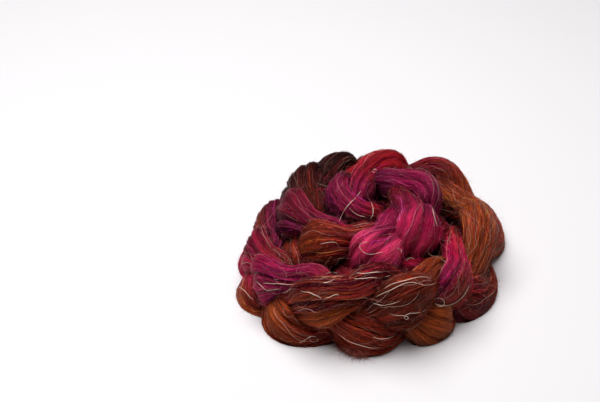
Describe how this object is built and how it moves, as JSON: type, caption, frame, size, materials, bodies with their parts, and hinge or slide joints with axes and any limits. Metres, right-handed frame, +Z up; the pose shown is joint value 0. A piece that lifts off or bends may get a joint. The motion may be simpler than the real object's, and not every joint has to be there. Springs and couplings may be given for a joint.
{
  "type": "silk and linen sliver, plaited and coiled",
  "caption": "Soft combed sliver of dyed silk and linen, plaited in strands and coiled by hand into a flat bun with its tail tucked into the middle, for spinning or felting.",
  "frame": {"origin": "under the middle of the coil's outline, on the surface it lies on", "axes": "+Z up, +X to the right and -Y towards the side the picture shows"},
  "size_m": [0.1434, 0.143, 0.0568],
  "materials": {
    "dyed_fibre": "fine combed fibres with a soft silk sheen, dyed in magenta, crimson, rust and orange, with pale linen hairs"
  },
  "bodies": {
    "root": {"sliver_coil": "dyed_fibre"}
  },
  "joints": []
}
